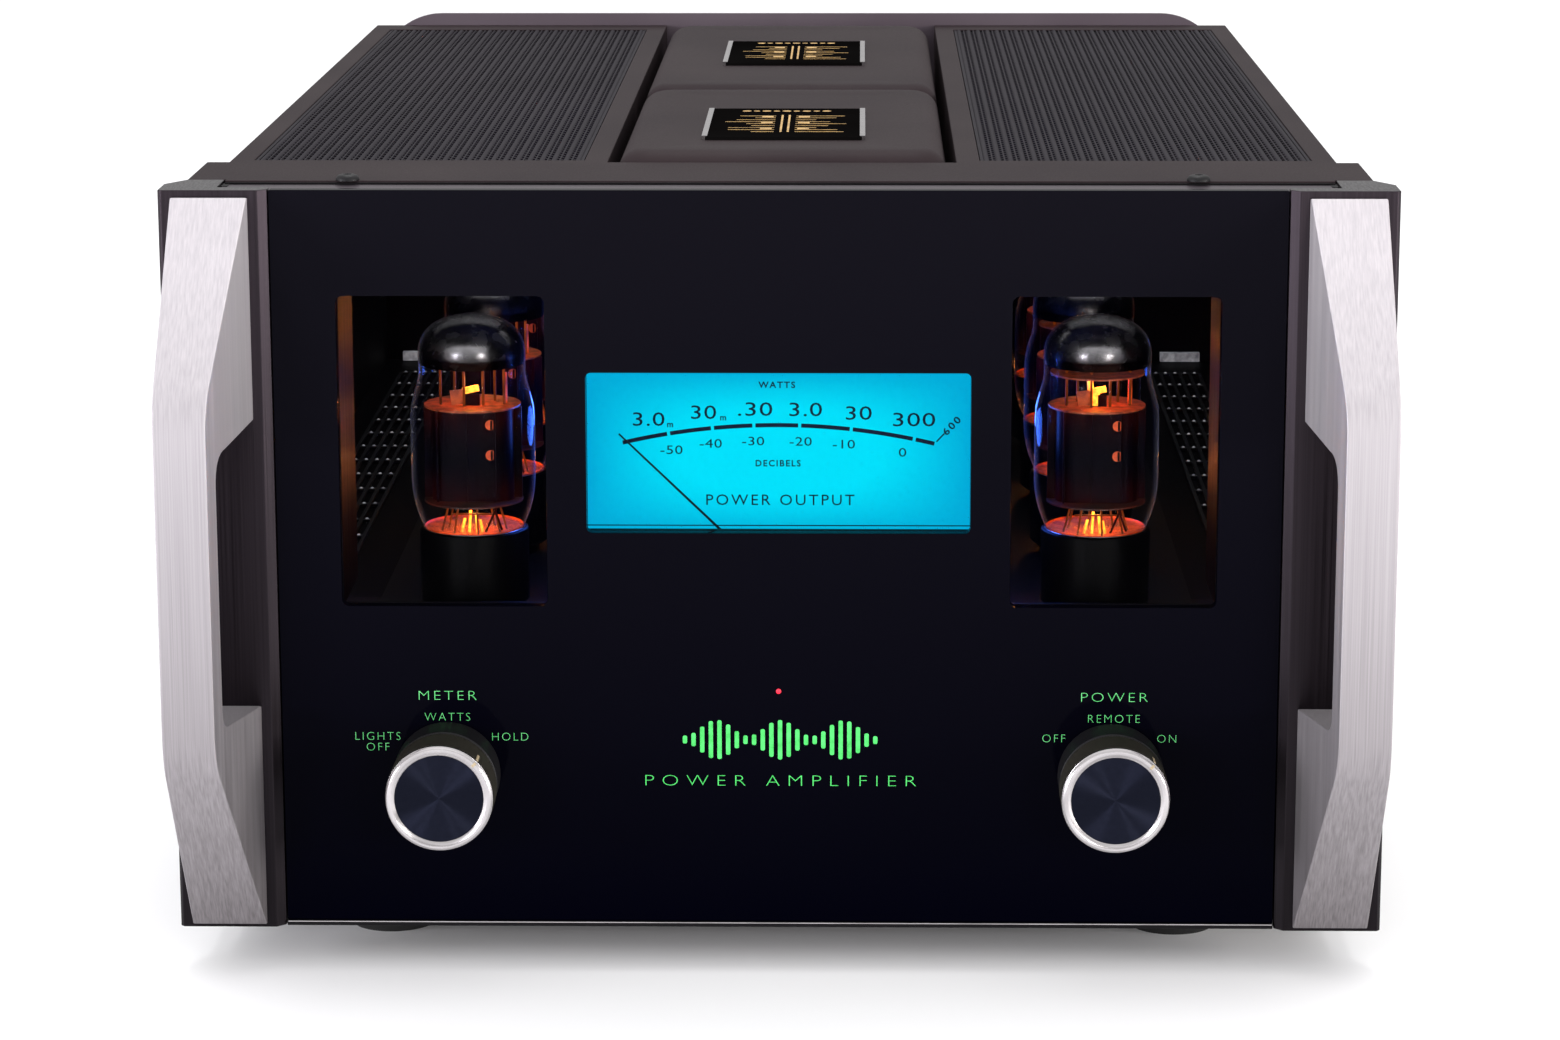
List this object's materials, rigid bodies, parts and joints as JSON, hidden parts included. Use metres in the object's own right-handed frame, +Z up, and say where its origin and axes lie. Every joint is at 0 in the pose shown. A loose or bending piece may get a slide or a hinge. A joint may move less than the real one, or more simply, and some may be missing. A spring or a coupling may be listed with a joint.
{
  "type": "power amplifier",
  "caption": "Valve power amplifier with a black glass front, lit power meter, rotary knobs, bar handles, ventilated valve bays and covered transformers.",
  "frame": {"origin": "on the floor, under the middle of the whole amplifier with its handles and terminals", "axes": "+X to the right seen from the front, +Y towards the rear, +Z up"},
  "size_m": [0.4444, 0.685, 0.2985],
  "materials": {
    "black_glass": "polished, backed in black",
    "valve_glass": "polished, lit orange from inside",
    "brushed_aluminium": "brushed along its length",
    "knob_metal": "turned, knurled band and bright bevel",
    "spun_dark_metal": "spun, dark anodised",
    "dark_anodised": "finely brushed, dark anodised",
    "satin_grey_paint": "satin",
    "grille_grey": "satin, perforated",
    "plated_steel": "zinc plated",
    "black_plastic": "matte",
    "rubber": "matte",
    "dial_blue": "lit from behind",
    "needle_black": "matte",
    "led_red": "lit",
    "laminations": "varnished laminations",
    "circuit_board": "satin solder mask",
    "gold_plate": "gold plated"
  },
  "bodies": {
    "root": {"front_glass": "black_glass", "front_backing_panel": "plated_steel", "end_cap_left": "dark_anodised", "end_cap_right": "dark_anodised", "handle_left": "brushed_aluminium", "handle_right": "brushed_aluminium", "top_rail": "dark_anodised", "bottom_rail": "dark_anodised", "front_shroud": "satin_grey_paint", "meter_case": "black_plastic", "meter_dial": "dial_blue", "status_led": "led_red", "meter_switch": "plated_steel", "power_switch": "plated_steel", "chassis_pan": "satin_grey_paint", "bottom_cover": "satin_grey_paint", "valve_cage_left": "satin_grey_paint", "valve_cage_right": "satin_grey_paint", "cage_grille_left": "grille_grey", "cage_grille_right": "grille_grey", "front_transformer_cover": "satin_grey_paint", "rear_transformer_cover": "satin_grey_paint", "output_transformer": "laminations", "power_transformer": "laminations", "rear_panel": "satin_grey_paint", "power_valve_left_1": "valve_glass", "power_valve_left_2": "valve_glass", "power_valve_left_3": "valve_glass", "power_valve_left_4": "valve_glass", "driver_valve_left_1": "valve_glass", "driver_valve_left_2": "valve_glass", "power_valve_right_1": "valve_glass", "power_valve_right_2": "valve_glass", "power_valve_right_3": "valve_glass", "power_valve_right_4": "valve_glass", "driver_valve_right_1": "valve_glass", "driver_valve_right_2": "valve_glass", "valve_socket_board_left": "circuit_board", "valve_socket_board_right": "circuit_board", "driver_circuit_board": "circuit_board", "reservoir_capacitors": "black_plastic", "mains_inlet": "black_plastic", "balanced_input": "plated_steel", "unbalanced_input": "gold_plate", "speaker_terminal_block": "black_plastic", "foot_front_left": "rubber", "foot_rear_left": "rubber", "foot_front_right": "rubber", "foot_rear_right": "rubber"},
    "meter_needle": {"meter_needle": "needle_black"},
    "meter_knob": {"meter_knob": "knob_metal", "meter_knob_inlay": "spun_dark_metal", "meter_switch_shaft": "plated_steel"},
    "power_knob": {"power_knob": "knob_metal", "power_knob_inlay": "spun_dark_metal", "power_switch_shaft": "plated_steel"},
    "terminal_nut_1": {"speaker_terminal_nut_1": "gold_plate"},
    "terminal_nut_2": {"speaker_terminal_nut_2": "gold_plate"},
    "terminal_nut_3": {"speaker_terminal_nut_3": "gold_plate"},
    "terminal_nut_4": {"speaker_terminal_nut_4": "gold_plate"}
  },
  "joints": [
    {"name": "meter_needle_swing", "type": "hinge", "parent": "root", "child": "meter_needle", "pos_m": [0, -0.2707, 0.1456], "axis": [0, 1, 0], "range_deg": [0, 92], "stiffness_Nm_per_rad": 0.0004, "springref_deg": -11.46},
    {"name": "meter_knob_turn", "type": "hinge", "parent": "root", "child": "meter_knob", "pos_m": [-0.122, -0.2825, 0.077], "axis": [0, 1, 0], "range_deg": [-90, 0]},
    {"name": "power_knob_turn", "type": "hinge", "parent": "root", "child": "power_knob", "pos_m": [0.122, -0.2825, 0.077], "axis": [0, 1, 0], "range_deg": [-90, 0]},
    {"name": "terminal_nut_1_travel", "type": "slide", "parent": "root", "child": "terminal_nut_1", "axis": [0, 1, 0], "range_m": [0, 0.008]},
    {"name": "terminal_nut_2_travel", "type": "slide", "parent": "root", "child": "terminal_nut_2", "axis": [0, 1, 0], "range_m": [0, 0.008]},
    {"name": "terminal_nut_3_travel", "type": "slide", "parent": "root", "child": "terminal_nut_3", "axis": [0, 1, 0], "range_m": [0, 0.008]},
    {"name": "terminal_nut_4_travel", "type": "slide", "parent": "root", "child": "terminal_nut_4", "axis": [0, 1, 0], "range_m": [0, 0.008]}
  ]
}
